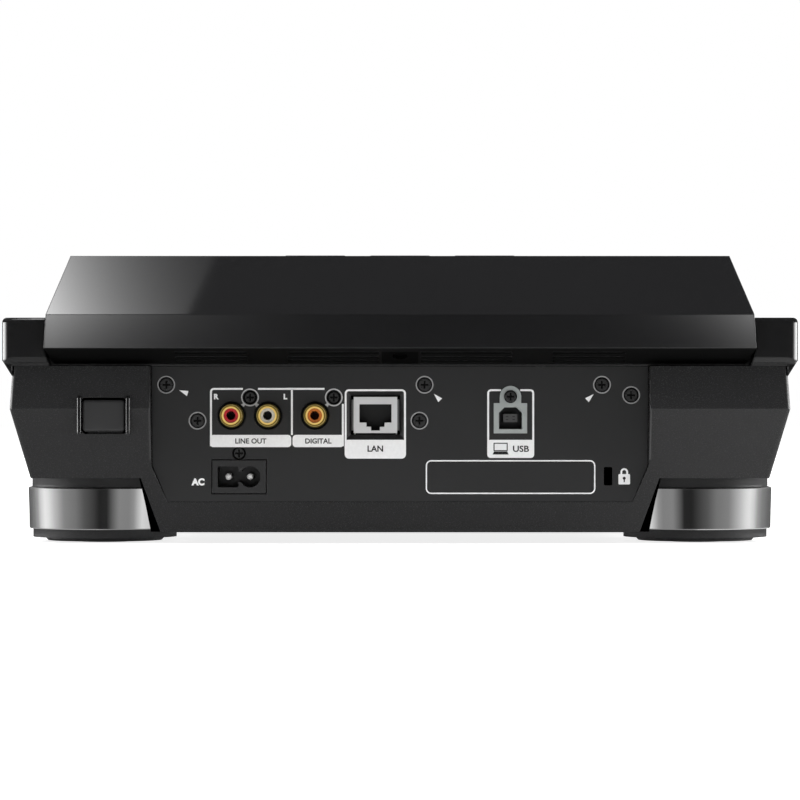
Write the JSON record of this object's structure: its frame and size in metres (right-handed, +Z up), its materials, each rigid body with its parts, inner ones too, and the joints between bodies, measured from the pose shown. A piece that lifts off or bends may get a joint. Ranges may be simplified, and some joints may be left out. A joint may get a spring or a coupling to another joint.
{
  "type": "tabletop dj media player",
  "caption": "Tabletop DJ media player with a jog wheel, play and cue keys, a tempo fader, a tilted display hood, and audio, network, USB and mains sockets in a recessed rear panel on four feet.",
  "frame": {"origin": "centre of the footprint, on the table's level", "axes": "+Y from the user towards the rear panel, +Z up, +X to the user's right"},
  "size_m": [0.3056, 0.3824, 0.1121],
  "materials": {
    "case_plastic": "fine-grained black moulding",
    "hood_plastic": "smooth black moulding",
    "panel_plastic": "matt black plate with printed frames",
    "ring_metal": "satin, turned",
    "foot_rubber": "matt black",
    "black_screw": "blackened steel",
    "screw_steel": "zinc-plated",
    "gold_plate": "gold-plated",
    "insert_plastic": "red, white and orange cores",
    "socket_metal": "tin-plated sheet",
    "socket_plastic": "black moulding",
    "pin_metal": "nickel-plated",
    "board_laminate": "green circuit board",
    "switch_plastic": "black switch bodies",
    "part_metal": "plain steel",
    "bearing_metal": "sintered bronze",
    "knob_plastic": "black knob",
    "key_plastic": "dark grey key caps",
    "round_key_plastic": "translucent dark caps",
    "dial_plastic": "black wheel",
    "plate_metal": "anodised dark grey, fine turning",
    "display_glass": "black touch glass",
    "display_module": "display module"
  },
  "bodies": {
    "case": {"lower_case": "case_plastic", "rear_panel": "panel_plastic", "top_case": "case_plastic", "display_hood": "hood_plastic", "touch_glass": "display_glass", "lcd_module": "display_module", "foot_collars": "case_plastic", "foot_rings": "ring_metal", "foot_pads": "foot_rubber", "bottom_screws": "black_screw", "rear_screws": "black_screw", "board_screws": "screw_steel", "rca_bodies": "socket_plastic", "rca_sleeves": "gold_plate", "rca_inserts": "insert_plastic", "link_jack_shield": "socket_metal", "usb_b_shield": "socket_metal", "usb_a_shell": "socket_metal", "socket_cores": "socket_plastic", "ac_inlet": "socket_plastic", "ac_inlet_pins": "pin_metal", "power_switch": "switch_plastic", "circuit_boards": "board_laminate", "key_boards": "board_laminate", "key_switches": "switch_plastic", "rotary_bodies": "part_metal", "tempo_fader_track": "switch_plastic", "pivot_pins": "part_metal", "jog_holder": "case_plastic", "jog_bearing": "bearing_metal", "jog_sensor": "switch_plastic"},
    "jog": {"jog_dial": "dial_plastic", "jog_spindle": "part_metal", "jog_encoder_ring": "switch_plastic"},
    "jog_plate": {"jog_plate": "plate_metal"},
    "jog_knob": {"jog_knob": "knob_plastic"},
    "vinyl_speed_knob": {"vinyl_speed_knob": "knob_plastic"},
    "tempo_fader": {"tempo_fader_knob": "knob_plastic"},
    "direction_lever": {"direction_lever": "knob_plastic"},
    "power_button": {"power_button": "key_plastic"},
    "browse_push": {"browse_shaft": "part_metal"},
    "browse_knob": {"browse_knob": "knob_plastic"},
    "play_button": {"play_button": "round_key_plastic"},
    "cue_button": {"cue_button": "round_key_plastic"},
    "hot_cue_a": {"hot_cue_a": "key_plastic"},
    "hot_cue_b": {"hot_cue_b": "key_plastic"},
    "hot_cue_c": {"hot_cue_c": "key_plastic"},
    "hot_cue_d": {"hot_cue_d": "key_plastic"},
    "loop_in_button": {"loop_in_button": "key_plastic"},
    "loop_out_button": {"loop_out_button": "key_plastic"},
    "reloop_button": {"reloop_button": "key_plastic"},
    "tempo_range_button": {"tempo_range_button": "key_plastic"},
    "master_tempo_button": {"master_tempo_button": "key_plastic"},
    "sync_button": {"sync_button": "key_plastic"},
    "browse_key": {"browse_key": "key_plastic"},
    "info_key": {"info_key": "key_plastic"},
    "menu_key": {"menu_key": "key_plastic"},
    "back_key": {"back_key": "key_plastic"},
    "track_rocker": {"track_rocker": "key_plastic"},
    "search_rocker": {"search_rocker": "key_plastic"}
  },
  "joints": [
    {"name": "jog_turn", "type": "hinge", "parent": "case", "child": "jog", "pos_m": [0.004, -0.06625, 0.095], "axis": [0, 0, 1], "continuous": true},
    {"name": "jog_plate_press", "type": "slide", "parent": "jog", "child": "jog_plate", "axis": [0, 0, -1], "range_m": [0, 0.0004], "stiffness_N_per_m": 5000, "springref_m": -0.0005},
    {"name": "jog_knob_turn", "type": "hinge", "parent": "case", "child": "jog_knob", "pos_m": [0.1288, 0.006, 0.0874], "axis": [0, 0, 1], "range_deg": [-140, 140]},
    {"name": "vinyl_speed_knob_turn", "type": "hinge", "parent": "case", "child": "vinyl_speed_knob", "pos_m": [0.1288, 0.038, 0.0874], "axis": [0, 0, 1], "range_deg": [-140, 140]},
    {"name": "tempo_slide", "type": "slide", "parent": "case", "child": "tempo_fader", "axis": [0, 1, 0], "range_m": [-0.05, 0.05]},
    {"name": "direction_tilt", "type": "hinge", "parent": "case", "child": "direction_lever", "pos_m": [-0.1348, -0.034, 0.0794], "axis": [1, 0, 0], "range_deg": [-12, 12]},
    {"name": "track_rocker_tilt", "type": "hinge", "parent": "case", "child": "track_rocker", "pos_m": [-0.1265, -0.08525, 0.0824], "axis": [0, 1, 0], "range_deg": [-2.5, 2.5], "stiffness_Nm_per_rad": 0.3},
    {"name": "search_rocker_tilt", "type": "hinge", "parent": "case", "child": "search_rocker", "pos_m": [-0.1265, -0.06825, 0.0824], "axis": [0, 1, 0], "range_deg": [-2.5, 2.5], "stiffness_Nm_per_rad": 0.3},
    {"name": "power_press", "type": "slide", "parent": "case", "child": "power_button", "axis": [0, -1, 0], "range_m": [0, 0.0025], "stiffness_N_per_m": 600, "springref_m": -0.001},
    {"name": "browse_press", "type": "slide", "parent": "case", "child": "browse_push", "axis": [0, 0.1882, -0.9821], "range_m": [0, 0.0008], "stiffness_N_per_m": 1500, "springref_m": -0.0005},
    {"name": "browse_turn", "type": "hinge", "parent": "browse_push", "child": "browse_knob", "pos_m": [0.109, 0.0895, 0.09667], "axis": [0, -0.1882, 0.9821], "continuous": true},
    {"name": "play_button_press", "type": "slide", "parent": "case", "child": "play_button", "axis": [0, 0, -1], "range_m": [0, 0.001], "stiffness_N_per_m": 1000, "springref_m": -0.0005},
    {"name": "cue_button_press", "type": "slide", "parent": "case", "child": "cue_button", "axis": [0, 0, -1], "range_m": [0, 0.001], "stiffness_N_per_m": 1000, "springref_m": -0.0005},
    {"name": "hot_cue_a_press", "type": "slide", "parent": "case", "child": "hot_cue_a", "axis": [0, 0, -1], "range_m": [0, 0.001], "stiffness_N_per_m": 1000, "springref_m": -0.0005},
    {"name": "hot_cue_b_press", "type": "slide", "parent": "case", "child": "hot_cue_b", "axis": [0, 0, -1], "range_m": [0, 0.001], "stiffness_N_per_m": 1000, "springref_m": -0.0005},
    {"name": "hot_cue_c_press", "type": "slide", "parent": "case", "child": "hot_cue_c", "axis": [0, 0, -1], "range_m": [0, 0.001], "stiffness_N_per_m": 1000, "springref_m": -0.0005},
    {"name": "hot_cue_d_press", "type": "slide", "parent": "case", "child": "hot_cue_d", "axis": [0, 0, -1], "range_m": [0, 0.001], "stiffness_N_per_m": 1000, "springref_m": -0.0005},
    {"name": "loop_in_button_press", "type": "slide", "parent": "case", "child": "loop_in_button", "axis": [0, 0, -1], "range_m": [0, 0.001], "stiffness_N_per_m": 1000, "springref_m": -0.0005},
    {"name": "loop_out_button_press", "type": "slide", "parent": "case", "child": "loop_out_button", "axis": [0, 0, -1], "range_m": [0, 0.001], "stiffness_N_per_m": 1000, "springref_m": -0.0005},
    {"name": "reloop_button_press", "type": "slide", "parent": "case", "child": "reloop_button", "axis": [0, 0, -1], "range_m": [0, 0.001], "stiffness_N_per_m": 1000, "springref_m": -0.0005},
    {"name": "tempo_range_button_press", "type": "slide", "parent": "case", "child": "tempo_range_button", "axis": [0, 0, -1], "range_m": [0, 0.001], "stiffness_N_per_m": 1000, "springref_m": -0.0005},
    {"name": "master_tempo_button_press", "type": "slide", "parent": "case", "child": "master_tempo_button", "axis": [0, 0, -1], "range_m": [0, 0.001], "stiffness_N_per_m": 1000, "springref_m": -0.0005},
    {"name": "sync_button_press", "type": "slide", "parent": "case", "child": "sync_button", "axis": [0, 0, -1], "range_m": [0, 0.001], "stiffness_N_per_m": 1000, "springref_m": -0.0005},
    {"name": "browse_key_press", "type": "slide", "parent": "case", "child": "browse_key", "axis": [0, 0.1882, -0.9821], "range_m": [0, 0.001], "stiffness_N_per_m": 1000, "springref_m": -0.0005},
    {"name": "info_key_press", "type": "slide", "parent": "case", "child": "info_key", "axis": [0, 0.1882, -0.9821], "range_m": [0, 0.001], "stiffness_N_per_m": 1000, "springref_m": -0.0005},
    {"name": "menu_key_press", "type": "slide", "parent": "case", "child": "menu_key", "axis": [0, 0.1882, -0.9821], "range_m": [0, 0.001], "stiffness_N_per_m": 1000, "springref_m": -0.0005},
    {"name": "back_key_press", "type": "slide", "parent": "case", "child": "back_key", "axis": [0, 0.1882, -0.9821], "range_m": [0, 0.001], "stiffness_N_per_m": 1000, "springref_m": -0.0005}
  ]
}
